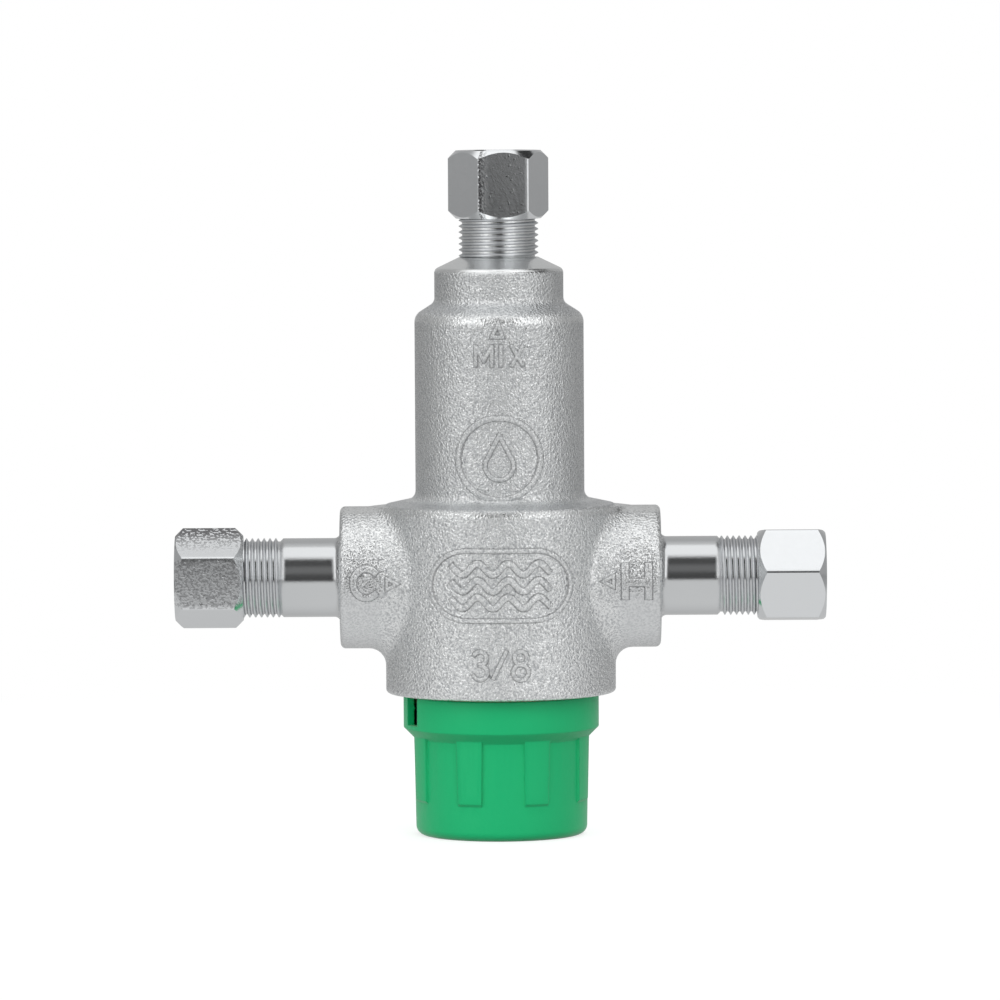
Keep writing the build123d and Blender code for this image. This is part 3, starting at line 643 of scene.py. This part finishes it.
# Marks on the upper barrel
upper = on_barrel(upper_radius)
mix_arrow = [(-1.64, 90.05), (0.94, 90.05), (-0.15, 93.2)]
cast_mark("flow_arrow_mix", [mix_arrow], 0.45, upper, hollow=True)
mix_letters = [
    [(-4.16, 85.25), (-4.16, 88.6)],
    [(-1.29, 85.25), (-1.29, 88.6)],
    [(-4.01, 88.45), (-2.72, 86.1), (-1.44, 88.45)],
    [(0.3, 85.25), (0.3, 88.6)],
    [(2.25, 85.25), (4.15, 88.6)],
    [(2.25, 88.6), (4.15, 85.25)],
]
cast_mark("word_mix", mix_letters, 0.5, upper)
cast_mark("plain_ring", [arc((-0.07, 68.55), 7.3, 0, 360, 64)], 0.8, upper)
drop = arc((-0.07, 67.35), 2.5, -215, 35, 24) + [(-0.07, 72.75)]
drop.append(drop[0])
cast_mark("water_drop", [drop], 0.55, upper)

# Marks on the barrel
barrel = on_barrel(barrel_radius)
badge_height = 46.3
badge_half = 6.2
right_end = arc((badge_half, badge_height), badge_half, -90, 90)
left_end = arc((-badge_half, badge_height), badge_half, 90, 270)
cast_mark("plain_badge_frame", [right_end + left_end + right_end[:1]], 0.6, barrel)
wave_height = 0.95
wave_length = 5.4
waves = [
    [
        (x / 4, badge_height + level + wave_height * sin(x / 4 * 2 * pi / wave_length))
        for x in range(-34, 35)
    ]
    for level in (-3.0, 0.0, 3.0)
]
cast_mark("water_waves", waves, 0.9, barrel)
three = arc((-3.7, 33.45), 1.15, 150, -90, 16) + arc((-3.7, 30.9), 1.25, 90, -150, 16)
stroke = [(-1.3, 30.0), (0.9, 34.5)]
eight = [arc((3.5, 33.5), 1.1, 0, 360, 20), arc((3.5, 30.9), 1.35, 0, 360, 20)]
cast_mark("size_number", [three, stroke] + eight, 0.5, barrel)

# Marks on the two inlet bosses
letter_c = [(-23.95 + x * 0.9, z) for x, z in arc((0, 46.3), 2.575, 50, 310, 24)]
cast_mark("letter_c", [letter_c], 1.0, on_boss)
cold_arrow = [(-20.5, 44.9), (-18.0, 46.2), (-20.5, 47.5)]
cast_mark("flow_arrow_cold", [cold_arrow], 0.42, on_boss, hollow=True)
letter_h = [
    [(22.25, 43.85), (22.25, 49.0)],
    [(26.45, 43.85), (26.45, 49.0)],
    [(22.3, 46.25), (26.4, 46.25)],
]
cast_mark("letter_h", letter_h, 1.2, on_boss)
hot_arrow = [(20.4, 45.1), (20.4, 47.8), (17.9, 46.45)]
cast_mark("flow_arrow_hot", [hot_arrow], 0.42, on_boss, hollow=True)


def bare_tree(block):
    """The emptied node tree of a material or a world."""
    block.use_nodes = True
    block.node_tree.nodes.clear()
    return block.node_tree


def show(surface, kind):
    """Ends a tree of nodes in its output."""
    output = surface.tree.nodes.new("ShaderNodeOutput" + kind)
    surface.tree.links.new(surface.socket, output.inputs["Surface"])


def white_glow(tree, strength):
    sockets = {"Color": (1, 1, 1, 1), "Strength": strength}
    return add(tree, "Emission", None, sockets, "Emission")


def blend(tree, factor, first, second):
    return add(tree, "MixShader", None, {0: factor, 1: first, 2: second})


def degrees_of(rise, run):
    """Angle of a direction in degrees, from its two sides."""
    return add(rise.tree, "Math", {"operation": "ARCTAN2"}, {0: rise, 1: run}) * (180 / pi)


# Pale floor, which keeps the object's shadow and shows mirrors a level of its own, darker under
# and behind the object as a painted shadow
paper = bpy.data.materials.new("pale_paper")
tree = bare_tree(paper)
seen = add(tree, "LightPath", output="Is Camera Ray")
mirrored = add(tree, "LightPath", output="Is Glossy Ray")
place = add(tree, "TexCoord", output="Object")
floor_x, floor_y, _ = axes(tree, place)
far_front = (-floor_y).step(0.20, 0.275) * between(degrees_of(floor_x, -floor_y), -20, 16, 4.0)
beside = floor_x.size().step(0.10, 0.28)
# Painted shadow: mirrors see the floor darker under and behind the object
painted_shadow_under = floor_y.step(-0.015, 0.04)
card = add(tree, "BsdfDiffuse", None, {"Color": (0.36, 0.36, 0.36, 1)}, "BSDF")
spread = add(tree, "VectorMath", {"operation": "LENGTH"}, {0: place}, "Value")
near = add(tree, "AddShader", None, {0: card, 1: white_glow(tree, 0.72)})
lit = blend(tree, spread.step(0.12, 0.30), near, white_glow(tree, 1.0))
mirror_level = 0.68 - 0.58 * far_front - 0.30 * beside - 0.14 * painted_shadow_under
shown = blend(tree, mirrored, card, white_glow(tree, mirror_level))
show(blend(tree, seen, shown, lit), "Material")

floor_mesh = bmesh.new()
bmesh.ops.create_grid(floor_mesh, x_segments=1, y_segments=1, size=6.0)
floor = make_object("floor", floor_mesh, paper)

# Studio walls and soft boxes, which only the metal and the gloss of the cap mirror.
# Their places are angles in degrees: over the front and round about it.
wall_level = 0.68
box_level = 1.05
strip_level = 0.70
walls = bpy.data.materials.new("studio_walls")
tree = bare_tree(walls)
place = add(tree, "TexCoord", output="Object")
east, north, rise = axes(tree, place)
over = degrees_of(rise, -north)
round_about = degrees_of(east, -north)

top_box = between(over, 66, 105, 4.0) * (1.0 - east.size().step(1.5, 2.3))
front = between(over, -14, 59.5, 4.0) * between(round_about, -10, 16, 3.0)
left_strip = between(round_about, -55, -30, 6.0) * (1.0 - over.step(100, 110))
right_strip = between(round_about, 26, 54, 6.0) * (1.0 - over.step(100, 110))
rear = over.size().step(100, 108)
high = rise.step(2.3, 3.0)
sides = round_about.size().step(55, 95).most(rear)
beside = east.size().step(0.3, 1.9)
ahead = 1.0 - round_about.step(4, 9)
front_level = 0.12 + (0.05 - 0.10 * (over - 26.0).size().step(4, 18)) * ahead
level = wall_level - (wall_level - front_level) * front
level = level - (0.21 + 0.13 * beside) * sides * (1.0 - high)
level = level + strip_level * (left_strip + right_strip) * (1.0 - top_box)
level = level * (1.0 - top_box) + box_level * top_box
flag = {0: place, 1: (1.5, 1.0, 2.4)}
from_flag = add(tree, "VectorMath", {"operation": "DISTANCE"}, flag, "Value")
level = (level * from_flag.step(0.55, 0.95)).most(0.03)
show(white_glow(tree, level), "Material")

dome_mesh = bmesh.new()
bmesh.ops.create_icosphere(dome_mesh, subdivisions=5, radius=3.0)
dome = make_object("studio", dome_mesh, walls)
dome.visible_camera = False
dome.visible_diffuse = False
dome.visible_transmission = False
dome.visible_shadow = False

# World: white to the camera and in mirrors, and a plain ambient level elsewhere
ambient = 0.80
world = bpy.data.worlds.new("plain_world")
bpy.context.scene.world = world
tree = bare_tree(world)
direct = add(tree, "LightPath", output="Is Camera Ray")
glossy = add(tree, "LightPath", output="Is Glossy Ray")
through = add(tree, "LightPath", output="Is Transmission Ray")
strength = ambient + (1.0 - ambient) * direct.most(glossy).most(through)
sky = {"Color": (1, 1, 1, 1), "Strength": strength}
show(add(tree, "Background", None, sky, "Background"), "World")


def soft_light(name, position, aim, width, power):
    """A square soft light, which mirrors don't show."""
    lamp = bpy.data.lights.new(name, "AREA")
    lamp.size = width
    lamp.energy = power
    made = bpy.data.objects.new(name, lamp)
    made.location = position
    made.rotation_euler = (Vector(aim) - Vector(position)).to_track_quat("-Z", "Y").to_euler()
    made.visible_glossy = False
    bpy.context.scene.collection.objects.link(made)


middle = (0, 0, 0.06)
soft_light("key", (0.35, -0.9, 0.7), middle, 0.8, 4.5)
soft_light("fill", (-0.8, -0.7, 0.3), middle, 0.7, 3.5)
soft_light("back", (0.2, 0.9, 0.8), middle, 0.7, 3.0)

# Camera at the photograph's viewing angle
target = Vector((0, 0, 0.0603))
tilt = radians(3.65)
roll = radians(-0.33)
view_distance = 1.35
camera = bpy.data.objects.new("camera", bpy.data.cameras.new("camera"))
camera.data.lens = 270
camera.data.sensor_width = 36
stand = target + view_distance * Vector((0, -cos(tilt), sin(tilt)))
facing = Matrix.Rotation(pi / 2 - tilt, 4, "X") @ Matrix.Rotation(roll, 4, "Z")
camera.matrix_world = Matrix.Translation(stand) @ facing
bpy.context.scene.collection.objects.link(camera)
bpy.context.scene.camera = camera
bpy.context.scene.view_settings.view_transform = "Standard"
